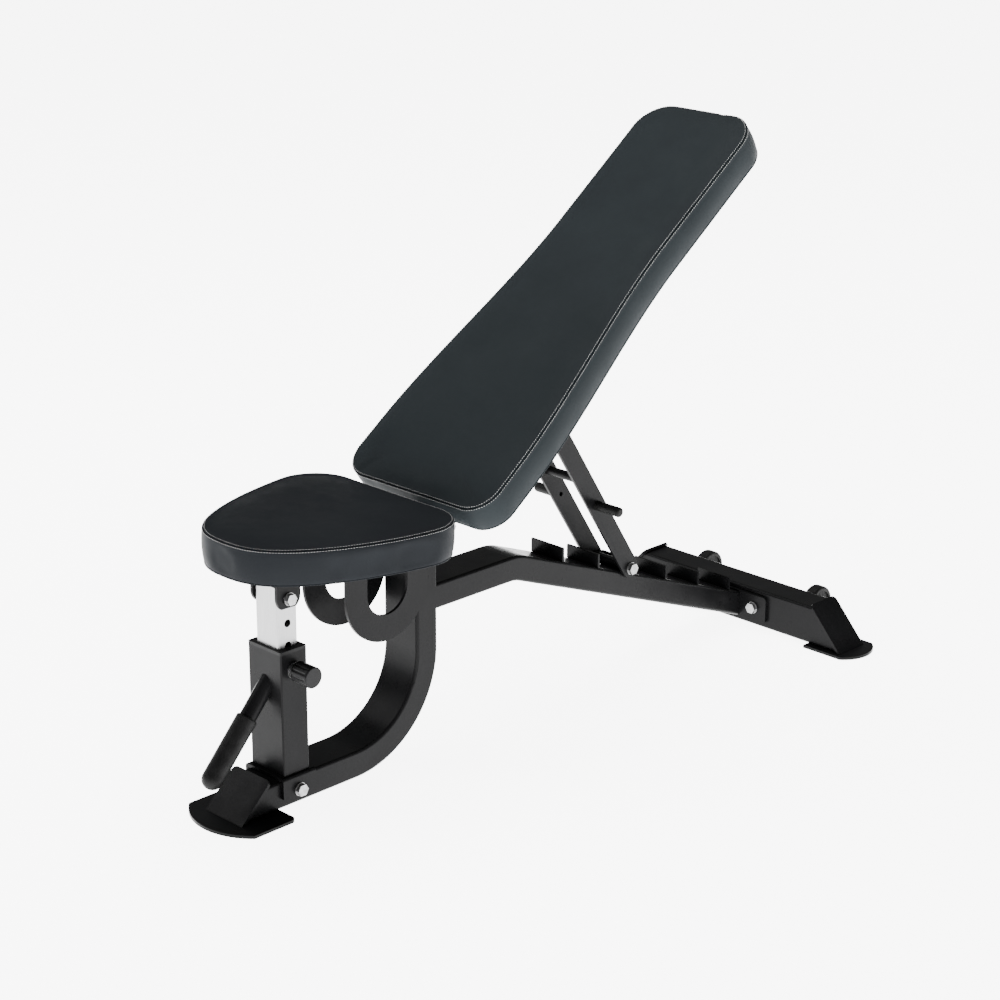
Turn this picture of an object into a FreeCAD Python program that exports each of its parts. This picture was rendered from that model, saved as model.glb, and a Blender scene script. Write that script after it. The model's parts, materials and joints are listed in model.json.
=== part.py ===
"""Adjustable weight bench: a welded steel frame, a tilting seat on a pinned post and a folding
backrest held by a prop strut.  Millimetres, +X to the bench's right side, +Y towards the head
end of the backrest, +Z up, floor at Z = 0."""
import FreeCAD
import Part
import os
from math import atan2, cos, degrees, pi, radians, sin, sqrt, tan

V = FreeCAD.Vector
X_AXIS = V(1, 0, 0)

# ---- driving dimensions -------------------------------------------------------------------
TUBE_W = 75.0            # width across X of every frame tube
WALL = 2.5
PLATE = 5.0
SLEEVE_CORNER = 2.5
CORNER = 5.0             # outer corner radius of the frame tubes

MAIN_DEPTH = 44.0        # J-shaped main tube, seen from the side
MAIN_Z0 = PLATE
MAIN_REAR_Y = -219.5
MAIN_BEND_R = 150.0      # centre line
MAIN_BEND_Y = -391.5
MAIN_TOP_Z = 372.0
CAP_FOOT_Y = -623.5      # where the slanted front cap meets the front foot
CAP_ANGLE = 43.98        # slant of the front cap from the horizontal, degrees
CAP_LENGTH = 79.2

SPINE_DEPTH = 42.0
SPINE_TOP_Z = 277.5
SPINE_FALL = 0.386       # drop per millimetre of run, rear part
SPINE_END_Y = 522.5
SPINE_END_TOP_Z = 61.3
SPINE_BEND_R = 80.0

CATCH_FIRST_Y = 63.6
CATCH_PITCH = 85.7
CATCH_COUNT = 6
CATCH_HEIGHT = 23.5
CATCH_THICK = 4.0
CATCH_HALF = 35.6

STAB_Y0, STAB_Y1 = 528.5, 588.5
STAB_TOP_Z = 73.0
STAB_HALF_TOP = 192.0
STAB_HALF_BOTTOM = 254.0
CAP_PROUD = 4.0

WHEEL_R = 31.0
WHEEL_W = 22.0
WHEEL_X = 126.5
WHEEL_Y = 629.5
WHEEL_Z = 37.0

POST_Y = -511.5
POST_X = 25.0            # half width of the silver post
POST_HALF_Y = 19.0
POST_Z0, POST_Z1 = 95.0, 350.0
PIN_Z = 221.0
HOLE_PITCH = 35.0
SLEEVE_Z0, SLEEVE_Z1 = 55.0, 249.0
SLEEVE_HALF_Y = 25.0
RIM = 5.0
EAR_Z = 331.0            # bolt that joins the seat ears to the post

SEAT_Y, SEAT_Z = -241.5, 360.0     # seat pivot
SEAT_PITCH_UP = 1.0                # the seat rests one degree nose up
PAD_T = 55.5
SEAT_PAD_Z = 375.0
SEAT_PAD_REAR_Y = -274.5
SEAT_PAD_LENGTH = 334.0
SEAT_PAD_HALF = 173.0

HINGE_Y, HINGE_Z = -195.5, 365.0   # backrest hinge
INCLINE = 36.68
BACK_ORIGIN = V(0, -29.1, 584.1)   # reference point of the backrest's top surface
BACK_S0, BACK_S1 = -266.0, 573.0   # ends of the backrest pad, along it from that point
BACK_HALF_LOW, BACK_HALF_TOP = 157.5, 117.5

FOOT_Y, FOOT_Z = 222.5, 187.5      # foot of the prop strut
TOP_Y, TOP_Z = 6.1, 521.4          # top pivot of the prop strut
BOLT_R = 5.0
FIT = 0.05                         # radial clearance of a bolt in its hole

B_DIR = V(0, cos(radians(INCLINE)), sin(radians(INCLINE)))
B_NORMAL = V(0, -sin(radians(INCLINE)), cos(radians(INCLINE)))


# ---- helpers -------------------------------------------------------------------------------
def box(x0, x1, y0, y1, z0, z1):
    return Part.makeBox(x1 - x0, y1 - y0, z1 - z0, V(x0, y0, z0))


def rod(x0, x1, y, z, r):
    """Cylinder along X."""
    return Part.makeCylinder(r, x1 - x0, V(x0, y, z), X_AXIS)


def ring(x0, x1, y, z, r, bore):
    return rod(x0, x1, y, z, r).cut(rod(x0 - 1, x1 + 1, y, z, bore))


def prism(points, x0, x1):
    """Side profile of (y, z) points, extruded across X."""
    corners = [V(x0, y, z) for y, z in points]
    face = Part.Face(Part.makePolygon(corners + corners[:1]))
    return face.extrude(V(x1 - x0, 0, 0))


def mirrored(shape):
    return shape.mirror(V(0, 0, 0), X_AXIS)


def both(shape):
    return Part.makeCompound([shape, mirrored(shape)])


def hexagon(x0, x1, y, z, flats):
    """Hexagonal head or nut along X."""
    r = flats / sqrt(3)
    return prism([(y + r * cos(k * pi / 3), z + r * sin(k * pi / 3)) for k in range(6)], x0, x1)


def cross_bolt(half, y, z, r=BOLT_R, flats=17.0, head=6.5):
    """Bolt along X between two faces at +-half: washers, hexagonal head and nut."""
    parts = [rod(-half - 1.5 - head - 2, half + 1.5, y, z, r)]
    parts.append(ring(half, half + 1.5, y, z, flats * 0.62, r * 0.5))
    parts.append(ring(-half - 1.5, -half, y, z, flats * 0.62, r * 0.5))
    parts.append(hexagon(half + 1.5, half + 1.5 + head, y, z, flats))
    parts.append(hexagon(-half - 1.5 - head, -half - 1.5, y, z, flats))
    return parts[0].multiFuse(parts[1:]).removeSplitter()


def rounded_section(origin, up, half_w, half_d, r):
    """Rounded rectangle, half_w across X and half_d along up, centred at origin."""
    corners = [(half_w, half_d), (-half_w, half_d), (-half_w, -half_d), (half_w, -half_d)]
    edges = []
    ends = []
    for cx, cd in corners:
        sx, sd = (1 if cx > 0 else -1), (1 if cd > 0 else -1)
        a = origin + X_AXIS * cx + up * (cd - sd * r)
        b = origin + X_AXIS * (cx - sx * r) + up * cd
        k = 1 - 1 / sqrt(2)
        m = origin + X_AXIS * (cx - sx * r * k) + up * (cd - sd * r * k)
        if sx * sd < 0:
            a, b = b, a
        ends.append((a, b))
        edges.append(Part.Arc(a, m, b).toShape())
    lines = [Part.LineSegment(ends[i][1], ends[(i + 1) % 4][0]).toShape() for i in range(4)]
    wire = []
    for arc, line in zip(edges, lines):
        wire.extend([arc, line])
    return Part.Wire(wire)


def bent_tube(path, up, depth):
    """Rectangular tube, TUBE_W wide and depth deep, swept along a path in the X = 0 plane."""
    start = path[0].firstVertex().Point
    spine = Part.Wire(path)
    solids = []
    for inset, r in ((0, CORNER), (WALL, CORNER - WALL)):
        section = rounded_section(start, up, TUBE_W / 2 - inset, depth / 2 - inset, r)
        solids.append(spine.makePipeShell([section], True, False))
    return solids[0].cut(solids[1])


def line(a, b):
    return Part.LineSegment(V(0, *a), V(0, *b)).toShape()


def arc(a, m, b):
    return Part.Arc(V(0, *a), V(0, *m), V(0, *b)).toShape()


def along(origin, direction, normal, s, o, x=0.0):
    """Point at s along a direction and o along its normal, x across."""
    return origin + direction * s + normal * o + X_AXIS * x


def slab(s0, s1, o0, o1, x0, x1):
    """Block in the backrest's own directions."""
    pts = [along(BACK_ORIGIN, B_DIR, B_NORMAL, s, o) for s, o in
           ((s0, o0), (s1, o0), (s1, o1), (s0, o1))]
    return prism([(p.y, p.z) for p in pts], x0, x1)


def spine_top(y):
    return SPINE_END_TOP_Z + SPINE_FALL * (SPINE_END_Y - y)


# ---- main frame -----------------------------------------------------------------------------
def cap_plane_point(depth):
    """Foot of the slanted cut at the front, depth behind the cap's outer face."""
    a = radians(CAP_ANGLE)
    return CAP_FOOT_Y + depth * sin(a), MAIN_Z0 - depth * cos(a)


def front_cut(depth):
    """Everything in front of the slanted cap plane."""
    y, z = cap_plane_point(depth)
    a = radians(CAP_ANGLE)
    reach = 300.0
    low = (y - reach * cos(a), z - reach * sin(a))
    high = (y + reach * cos(a), z + reach * sin(a))
    return prism([low, high, (high[0] - 600, high[1] + 100), (low[0] - 600, low[1])], -60, 60)


def main_tube():
    mid_z = MAIN_Z0 + MAIN_DEPTH / 2
    bend_z = mid_z + MAIN_BEND_R
    k = MAIN_BEND_R / sqrt(2)
    rise_y = MAIN_BEND_Y + MAIN_BEND_R
    path = [line((-700.0, mid_z), (MAIN_BEND_Y, mid_z)),
            arc((MAIN_BEND_Y, mid_z), (MAIN_BEND_Y + k, bend_z - k), (rise_y, bend_z)),
            line((rise_y, bend_z), (rise_y, MAIN_TOP_Z - 3.0))]
    tube = bent_tube(path, V(0, 0, 1), MAIN_DEPTH).cut(front_cut(PLATE))
    lid = rounded_section(V(0, rise_y, MAIN_TOP_Z - 3.0), V(0, 1, 0), TUBE_W / 2,
                          MAIN_DEPTH / 2, CORNER)
    tube = tube.fuse(Part.Face(lid).extrude(V(0, 0, 3.0)))
    tube = tube.cut(rod(-60, 60, SEAT_Y, SEAT_Z, BOLT_R + FIT))
    return tube.cut(rod(-60, 60, POST_Y, 30.0, BOLT_R + FIT))


def main_upright():
    """The filled outline of the main tube's upright, which the spine is coped against."""
    rise_y = MAIN_BEND_Y + MAIN_BEND_R
    outline = rounded_section(V(0, rise_y, 180.0), V(0, 1, 0), TUBE_W / 2, MAIN_DEPTH / 2,
                              CORNER)
    return Part.Face(outline).extrude(V(0, 0, 180.0))


def front_cap():
    """Welded cover plate on the slanted front end, a little proud of the tube."""
    a = radians(CAP_ANGLE)
    outer = Part.makeBox(84.0, CAP_LENGTH, PLATE, V(-42.0, 0, -PLATE))
    tops = [e for e in outer.Edges
            if e.BoundBox.YMin > CAP_LENGTH - 0.1 and e.BoundBox.ZLength > 1]
    outer = outer.makeFillet(10.0, tops)
    outer.rotate(V(0, 0, 0), X_AXIS, degrees(a))
    outer.translate(V(0, CAP_FOOT_Y, MAIN_Z0))
    return outer.cut(box(-60, 60, -700, -500, -20, MAIN_Z0))


def front_foot():
    """Flat foot plate with a curved nose."""
    nose_y, side_y, rear_y, half, nose_r = -660.5, -627.5, -546.5, 77.0, 106.0
    r = 10.0
    k = r * (1 - 1 / sqrt(2))
    edges = [Part.Arc(V(half, side_y, 0), V(0, nose_y, 0), V(-half, side_y, 0)).toShape(),
             Part.LineSegment(V(-half, side_y, 0), V(-half, rear_y - r, 0)).toShape(),
             Part.Arc(V(-half, rear_y - r, 0), V(-half + k, rear_y - k, 0),
                      V(-half + r, rear_y, 0)).toShape(),
             Part.LineSegment(V(-half + r, rear_y, 0), V(half - r, rear_y, 0)).toShape(),
             Part.Arc(V(half - r, rear_y, 0), V(half - k, rear_y - k, 0),
                      V(half, rear_y - r, 0)).toShape(),
             Part.LineSegment(V(half, rear_y - r, 0), V(half, side_y, 0)).toShape()]
    return Part.Face(Part.Wire(edges)).extrude(V(0, 0, PLATE))


def spine_tube():
    """Level from the main tube, then down to the flange at the rear."""
    fall = -atan2(SPINE_FALL, 1)
    kink_y = SPINE_END_Y - (SPINE_TOP_Z - SPINE_END_TOP_Z) / SPINE_FALL
    half = SPINE_DEPTH / 2
    mid_z = SPINE_TOP_Z - half
    kink = (kink_y - half * tan(-fall / 2), mid_z)
    run = SPINE_BEND_R * tan(-fall / 2)
    a = (kink[0] - run, mid_z)
    b = (kink[0] + run * cos(fall), mid_z + run * sin(fall))
    m = (a[0] + SPINE_BEND_R * sin(-fall / 2), mid_z - SPINE_BEND_R * (1 - cos(fall / 2)))
    reach = (SPINE_END_Y + 60 - b[0]) / cos(fall)
    end = (b[0] + reach * cos(fall), b[1] + reach * sin(fall))
    path = [line((MAIN_REAR_Y - CORNER, mid_z), a), arc(a, m, b), line(b, end)]
    tube = bent_tube(path, V(0, 0, 1), SPINE_DEPTH).cut(main_upright())
    return tube.cut(box(-60, 60, SPINE_END_Y, SPINE_END_Y + 200, -100, 200))


def catch_plate(y, spine_solid):
    """Upright stop across the spine, its lower edge shaped to the slope."""
    plate = box(-CATCH_HALF, CATCH_HALF, y, y + CATCH_THICK, spine_top(y) - 20,
                spine_top(y) + CATCH_HEIGHT)
    slope = prism([(y - 30, spine_top(y - 30)), (y + 60, spine_top(y + 60)),
                   (y + 60, -50), (y - 30, -50)], -60, 60)
    return plate.cut(slope).cut(spine_solid)


# ---- rear stabiliser --------------------------------------------------------------------------
def spine_flange():
    plate = box(-96, 96, SPINE_END_Y, STAB_Y0, 16, 64)
    ends = [e for e in plate.Edges if e.BoundBox.YLength > 5]
    plate = plate.makeFillet(6.0, ends)
    for x in (-67.5, 67.5):
        plate = plate.cut(Part.makeCylinder(BOLT_R + FIT, 20, V(x, 515, 40), V(0, 1, 0)))
    return plate


def hex_y(x, y0, y1, z, flats):
    r = flats / sqrt(3)
    pts = [V(x + r * cos(k * pi / 3), y0, z + r * sin(k * pi / 3)) for k in range(6)]
    return Part.Face(Part.makePolygon(pts + pts[:1])).extrude(V(0, y1 - y0, 0))


def flange_bolts():
    """Two bolts along Y through the flange and the stabiliser, with washers and nuts."""
    solids = []
    for x in (-67.5, 67.5):
        parts = [Part.makeCylinder(BOLT_R, 81, V(x, SPINE_END_Y - 5, 40), V(0, 1, 0))]
        for y in (SPINE_END_Y - 1.5, STAB_Y1):
            parts.append(Part.makeCylinder(10.5, 1.5, V(x, y, 40), V(0, 1, 0)))
        parts.append(hex_y(x, SPINE_END_Y - 8, SPINE_END_Y - 1.5, 40, 17))
        parts.append(hex_y(x, STAB_Y1 + 1.5, STAB_Y1 + 9.5, 40, 17))
        solids.append(parts[0].multiFuse(parts[1:]).removeSplitter())
    return Part.makeCompound(solids)


def trapezoid(half_top, half_bottom, y0, y1, z0, z1):
    pts = [V(half_bottom, y0, z0), V(half_top, y0, z1), V(-half_top, y0, z1),
           V(-half_bottom, y0, z0)]
    return Part.Face(Part.makePolygon(pts + pts[:1])).extrude(V(0, y1 - y0, 0))


def long_tube(x, y0, y1, z0, z1, r):
    tube = box(-x, x, y0, y1, z0, z1)
    return tube.makeFillet(r, [e for e in tube.Edges if e.BoundBox.XLength > x])


def stabiliser_tube():
    outer = long_tube(300, STAB_Y0, STAB_Y1, PLATE, STAB_TOP_Z, CORNER)
    inner = long_tube(310, STAB_Y0 + WALL, STAB_Y1 - WALL, PLATE + WALL, STAB_TOP_Z - WALL,
                      CORNER - WALL)
    slant = trapezoid(STAB_HALF_TOP, STAB_HALF_BOTTOM, STAB_Y0 - 5, STAB_Y1 + 5, PLATE,
                      STAB_TOP_Z)
    tube = outer.cut(inner).common(slant)
    for x in (-67.5, 67.5):
        tube = tube.cut(Part.makeCylinder(BOLT_R + FIT, 80, V(x, 520, 40), V(0, 1, 0)))
    return tube


def stabiliser_cap():
    """Slanted cover plate of the +X end, proud of the tube at the top and sides."""
    a = atan2(STAB_TOP_Z - PLATE, STAB_HALF_TOP - STAB_HALF_BOTTOM)
    length = sqrt((STAB_TOP_Z - PLATE) ** 2 + (STAB_HALF_TOP - STAB_HALF_BOTTOM) ** 2)
    y0, y1 = STAB_Y0 - CAP_PROUD, STAB_Y1 + CAP_PROUD
    plate = Part.makeBox(length + 15 + CAP_PROUD, y1 - y0, PLATE, V(-15, y0, -PLATE))
    tops = [e for e in plate.Edges
            if e.BoundBox.XMin > length + CAP_PROUD - 0.1 and e.BoundBox.ZLength > 1]
    plate = plate.makeFillet(10.0, tops)
    plate.rotate(V(0, 0, 0), V(0, 1, 0), -degrees(a))
    plate.translate(V(STAB_HALF_BOTTOM, 0, PLATE))
    return plate.cut(box(0, 400, 400, 700, -50, PLATE))


def rear_foot():
    """Flat foot plate of the +X side with a curved outer end."""
    y0, y1, x0 = 516.5, 609.5, 187.0
    mid = (y0 + y1) / 2
    bow = Part.Arc(V(266, y0, 0), V(289, mid, 0), V(266, y1, 0)).toShape()
    edges = [bow,
             Part.LineSegment(V(266, y1, 0), V(x0, y1, 0)).toShape(),
             Part.LineSegment(V(x0, y1, 0), V(x0, y0, 0)).toShape(),
             Part.LineSegment(V(x0, y0, 0), V(266, y0, 0)).toShape()]
    return Part.Face(Part.Wire(edges)).extrude(V(0, 0, PLATE))


def wheel_bracket():
    """Fork of the +X wheel: a base on the stabiliser and two arms."""
    inner = WHEEL_W / 2 + 1.0
    arms = []
    for side in (-1, 1):
        x0 = WHEEL_X + side * (inner + 2.0) - 2.0
        arm = prism([(STAB_Y1, 24), (WHEEL_Y, WHEEL_Z - 13), (WHEEL_Y, WHEEL_Z + 13),
                     (STAB_Y1, 62)], x0, x0 + 4)
        arms.append(arm.fuse(rod(x0, x0 + 4, WHEEL_Y, WHEEL_Z, 13.0)))
    base = box(WHEEL_X - inner - 4, WHEEL_X + inner + 4, STAB_Y1, STAB_Y1 + 4, 24, 62)
    fork = base.multiFuse(arms).removeSplitter()
    return fork.cut(rod(80, 180, WHEEL_Y, WHEEL_Z, BOLT_R + FIT))


def wheel_bolt():
    half = WHEEL_W / 2 + 5.0
    bolt = cross_bolt(half, WHEEL_Y, WHEEL_Z, BOLT_R, 16.0, 6.0)
    bolt.translate(V(WHEEL_X, 0, 0))
    return bolt


def wheel():
    half = WHEEL_W / 2
    body = rod(WHEEL_X - half, WHEEL_X + half, WHEEL_Y, WHEEL_Z, WHEEL_R)
    body = body.makeFillet(5.0, body.Edges)
    for side in (-1, 1):
        x0 = WHEEL_X + side * (half - 1.5) - 1.5
        body = body.cut(ring(x0, x0 + 3, WHEEL_Y, WHEEL_Z, 23.0, 11.0))
    return body.cut(rod(80, 180, WHEEL_Y, WHEEL_Z, BOLT_R + FIT))


# ---- hinge, saddle, sleeve, handle --------------------------------------------------------------
def hinge_bracket():
    """Ear of the +X side, welded to the rear of the main tube."""
    pts = [(MAIN_REAR_Y, 306), (MAIN_REAR_Y, 364), (HINGE_Y - 5.5, HINGE_Z + 14),
           (HINGE_Y + 15, HINGE_Z), (HINGE_Y + 8, HINGE_Z - 18)]
    ear = prism(pts, 31.0, 37.0).fuse(rod(31, 37, HINGE_Y, HINGE_Z, 15.0)).removeSplitter()
    return ear.cut(rod(20, 50, HINGE_Y, HINGE_Z, BOLT_R + FIT))


def saddle_bracket():
    """Channel over the main tube that carries the post sleeve."""
    y0, y1 = POST_Y - 32, POST_Y + 32
    outer = box(-44, 44, y0, y1, 22, 55)
    outer = outer.makeFillet(5.0, [e for e in outer.Edges
                                   if e.BoundBox.YLength > 50 and e.BoundBox.ZMin > 50])
    channel = outer.cut(box(-37.8, 37.8, y0 - 1, y1 + 1, 0, 49))
    return channel.cut(rod(-60, 60, POST_Y, 30.0, BOLT_R + FIT))


def sleeve_block(inset_x, inset_y, z0, z1, r):
    block = box(-TUBE_W / 2 + inset_x, TUBE_W / 2 - inset_x, POST_Y - SLEEVE_HALF_Y + inset_y,
                POST_Y + SLEEVE_HALF_Y - inset_y, z0, z1)
    return block.makeFillet(r, [e for e in block.Edges if e.BoundBox.ZLength > 3])


def post_space(extra, z0, z1):
    return box(-POST_X - extra, POST_X + extra, POST_Y - POST_HALF_Y - extra,
               POST_Y + POST_HALF_Y + extra, z0, z1)


def post_sleeve():
    tube = sleeve_block(0, 0, SLEEVE_Z0, SLEEVE_Z1, SLEEVE_CORNER)
    tube = tube.cut(sleeve_block(3, 3, SLEEVE_Z0 - 1, SLEEVE_Z1 + 1, 1.5))
    return tube.cut(rod(20, 60, POST_Y, PIN_Z, BOLT_R + FIT))


def sleeve_bushing():
    """Plastic guide between sleeve and post, with a rim on top."""
    body = sleeve_block(3, 3, PIN_Z - 40, SLEEVE_Z1, 1.5)
    body = body.fuse(sleeve_block(0, 0, SLEEVE_Z1, SLEEVE_Z1 + RIM, SLEEVE_CORNER)).removeSplitter()
    body = body.cut(post_space(0.15, 0, 400))
    return body.cut(rod(20, 60, POST_Y, PIN_Z, BOLT_R + FIT))


HANDLE_FROM = V(0, POST_Y - SLEEVE_HALF_Y, 191.0)
HANDLE_END = V(0, -641.1, 75.0)
HANDLE_DIR = (HANDLE_END - HANDLE_FROM).normalize()
HANDLE_LENGTH = (HANDLE_END - HANDLE_FROM).Length


def handle_tube():
    start = HANDLE_FROM - HANDLE_DIR * 30
    tube = Part.makeCylinder(13.2, HANDLE_LENGTH + 25, start, HANDLE_DIR)
    tube = tube.cut(Part.makeCylinder(10.7, HANDLE_LENGTH + 40, start - HANDLE_DIR * 5,
                                      HANDLE_DIR))
    return tube.cut(box(-60, 60, HANDLE_FROM.y, HANDLE_FROM.y + 100, 0, 400))


def handle_grip():
    """Rubber grip with a domed closed end."""
    start = HANDLE_FROM + HANDLE_DIR * 53
    grip = Part.makeCylinder(16.5, HANDLE_LENGTH - 53, start, HANDLE_DIR)
    grip = grip.makeFillet(3.0, [grip.Edges[k] for k in range(len(grip.Edges))
                                 if (grip.Edges[k].BoundBox.Center - start).Length < 1])
    dome = Part.makeSphere(16.5, HANDLE_END)
    hollow = Part.makeCylinder(13.2, HANDLE_LENGTH - 5 - 50, HANDLE_FROM + HANDLE_DIR * 50,
                               HANDLE_DIR)
    return grip.fuse(dome).removeSplitter().cut(hollow)


def pin_barrel():
    """Collar with a round base against the sleeve."""
    base = rod(TUBE_W / 2, TUBE_W / 2 + 3.0, POST_Y, PIN_Z, 13.0)
    collar = base.fuse(rod(TUBE_W / 2, 46.0, POST_Y, PIN_Z, 10.0)).removeSplitter()
    return collar.cut(rod(30.0, 60.0, POST_Y, PIN_Z, BOLT_R + FIT))


def pull_pin():
    """Locking pin, drawn back just clear of the post."""
    x0 = POST_X + 0.6
    pin = rod(x0, 74.0, POST_Y, PIN_Z, BOLT_R)
    tip = [e for e in pin.Edges if abs(e.BoundBox.XMax - x0) < 0.01]
    return pin.makeChamfer(1.2, tip)


def pin_knob():
    """Fluted pull knob, hollow where it closes over the barrel."""
    knob = rod(46.0, 81.6, POST_Y, PIN_Z, 16.5)
    knob = knob.makeFillet(2.0, [e for e in knob.Edges if e.BoundBox.YLength > 20])
    for k in range(12):
        a = 2 * pi * k / 12
        knob = knob.cut(rod(50.0, 78.0, POST_Y + 18.6 * cos(a), PIN_Z + 18.6 * sin(a), 3.2))
    knob = knob.cut(rod(45.0, 56.0, POST_Y, PIN_Z, 10.6))
    return knob.cut(rod(45.0, 74.0, POST_Y, PIN_Z, BOLT_R))


# ---- seat ---------------------------------------------------------------------------------------
def seat_post():
    post = post_space(0, POST_Z0, POST_Z1)
    post = post.makeFillet(4.0, [e for e in post.Edges if e.BoundBox.ZLength > 100])
    post = post.cut(post_space(-WALL, POST_Z0 - 1, POST_Z1 + 1))
    for k in range(-2, 3):
        post = post.cut(rod(-40, 40, POST_Y, PIN_Z + k * HOLE_PITCH, 6.0))
    return post.cut(rod(-40, 40, POST_Y, EAR_Z, BOLT_R + FIT))


def seat_tilt(shape):
    """The seat's parts are drawn level and set at their resting pitch about the pivot."""
    shape = shape.copy()
    shape.rotate(V(0, SEAT_Y, SEAT_Z), X_AXIS, -SEAT_PITCH_UP)
    return shape


def ear_slot():
    """Room for the post's bolt while the post travels straight and the seat turns."""
    lo, hi = POST_Y - 6.3, POST_Y + 1.8
    reach = BOLT_R + 0.3
    bar = box(20, 40, lo, hi, EAR_Z - reach - 0.2, EAR_Z + reach + 0.6)
    ends = [rod(20, 40, y, EAR_Z + 0.2, reach + 0.4) for y in (lo, hi)]
    return bar.multiFuse(ends)


def seat_rail():
    """Flat bar under the seat with a hanging ear for the post bolt."""
    x0, x1 = POST_X + 0.3, POST_X + 5.3
    bar = box(x0, x1, -531.5, -275.5, 340, SEAT_PAD_Z - PLATE)
    ear = box(x0, x1, POST_Y - 22.5, POST_Y + 22.5, EAR_Z - 1, 350)
    ear = ear.fuse(rod(x0, x1, POST_Y, EAR_Z - 1, 22.5).cut(
        box(0, 60, POST_Y - 40, POST_Y + 40, EAR_Z - 1, 400)))
    ear = ear.cut(box(0, 60, POST_Y - 40, POST_Y + 40, 200, 312.5))
    return seat_tilt(bar.fuse(ear).removeSplitter()).cut(ear_slot())


def seat_mount_plate():
    plate = box(-50, 50, -531.5, -277.0, SEAT_PAD_Z - PLATE, SEAT_PAD_Z)
    for x, y in seat_bolt_places():
        plate = plate.cut(Part.makeCylinder(4.0 + FIT, 20, V(x, y, 365), V(0, 0, 1)))
    return seat_tilt(plate)


def seat_bolt_places():
    return [(x, y) for x in (-38.0, 38.0) for y in (-500.0, -400.0)]


def seat_side_plate():
    """Slotted side plate: a U-shaped loop under the seat and an arm back to the pivot."""
    x0, x1, cy, cz = 45.0, 50.0, -334.0, 302.0
    top = SEAT_PAD_Z - PLATE
    loop = rod(x0, x1, cy, cz, 83.0).cut(box(0, 60, -500, 0, cz, 500))
    loop = loop.fuse(box(x0, x1, cy - 83, cy + 83, cz, top))
    lug = prism([(cy + 60, top), (cy + 60, 330), (SEAT_Y + 6, SEAT_Z - 12.6),
                 (SEAT_Y + 2, SEAT_Z + 13.8), (cy + 82, top)], x0, x1)
    plate = loop.multiFuse([lug, rod(x0, x1, SEAT_Y, SEAT_Z, 14.0)])
    slot = rod(0, 60, cy, cz, 41.0).fuse(box(0, 60, cy - 41, cy + 41, cz, top - 12))
    plate = plate.cut(slot)
    boss = rod(38.0, x0, SEAT_Y, SEAT_Z, 11.0)
    plate = plate.fuse(boss).removeSplitter()
    return seat_tilt(plate.cut(rod(30, 60, SEAT_Y, SEAT_Z, BOLT_R + FIT)))


def seat_outline(inset, z):
    """Closed outline: straight rear edge, rounded corners, blunt curved nose."""
    r = 70.0 - inset
    rear = SEAT_PAD_REAR_Y - inset
    start = rear - r
    span = SEAT_PAD_LENGTH - r - inset * 1.5
    half = SEAT_PAD_HALF - inset
    side = []
    count = 14
    for k in range(count + 1):
        a = pi / 2 * k / count
        x = half * max(cos(a), 0.0) ** 0.769
        side.append(V(x, start - span * sin(a) ** 1.481, z))
    points = side + [V(-p.x, p.y, z) for p in reversed(side[:-1])]
    curve = Part.BSplineCurve()
    curve.interpolate(points, InitialTangent=V(0, -1, 0), FinalTangent=V(0, 1, 0))
    k = r * (1 - 1 / sqrt(2))
    left = Part.Arc(V(-half, start, z), V(-half + k, rear - k, z), V(-half + r, rear, z))
    edge = Part.LineSegment(V(-half + r, rear, z), V(half - r, rear, z))
    right = Part.Arc(V(half - r, rear, z), V(half - k, rear - k, z), V(half, start, z))
    return Part.Wire([curve.toShape(), left.toShape(), edge.toShape(), right.toShape()])


def seat_board_blank():
    return Part.Face(seat_outline(14.0, SEAT_PAD_Z)).extrude(V(0, 0, 12))


def seat_board():
    """Plywood board let into the underside of the pad."""
    board = seat_board_blank()
    for x, y in seat_bolt_places():
        board = board.cut(Part.makeCylinder(4.0 + FIT, 20, V(x, y, SEAT_PAD_Z - 4), V(0, 0, 1)))
    return seat_tilt(board)


def pad_levels():
    """Height above the back plane and inset of each outline of a pad with rounded edges."""
    steps = [(0.0, 4.0), (1.2, 1.2), (4.0, 0.0), (PAD_T - 8.0, 0.0)]
    for k in (1, 2, 3):
        a = pi / 2 * k / 3
        steps.append((PAD_T - 8.0 + 8.0 * sin(a), 8.0 - 8.0 * cos(a)))
    return steps


def seat_pad():
    wires = [seat_outline(inset, SEAT_PAD_Z + h) for h, inset in pad_levels()]
    return seat_tilt(Part.makeLoft(wires, True, True).cut(seat_board_blank()))


def seat_pad_bolts():
    bolts = []
    for x, y in seat_bolt_places():
        shank = Part.makeCylinder(4.0, 22, V(x, y, SEAT_PAD_Z - PLATE - 5), V(0, 0, 1))
        shank = shank.common(box(-200, 200, -600, 0, 300, SEAT_PAD_Z + 11.9))
        head = Part.makeCylinder(7.0, 4.5, V(x, y, SEAT_PAD_Z - PLATE - 4.5), V(0, 0, 1))
        bolts.append(seat_tilt(shank.fuse(head).removeSplitter()))
    return Part.makeCompound(bolts)


# ---- backrest -------------------------------------------------------------------------------------
RAIL_O1 = -PAD_T - PLATE
RAIL_O0 = RAIL_O1 - 30.0
HINGE_S = (V(0, HINGE_Y, HINGE_Z) - BACK_ORIGIN).dot(B_DIR)
BACK_BOLTS = [(x, s) for x in (-45.0, 45.0) for s in (-170.0, 30.0, 230.0)]


def smooth(t):
    t = min(max(t, 0.0), 1.0)
    return t * t * (3 - 2 * t)


def back_half_width(s):
    """The pad narrows smoothly from the hip end to the head end."""
    return BACK_HALF_LOW + (BACK_HALF_TOP - BACK_HALF_LOW) * smooth((s + 170.0) / 462.0)


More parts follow.
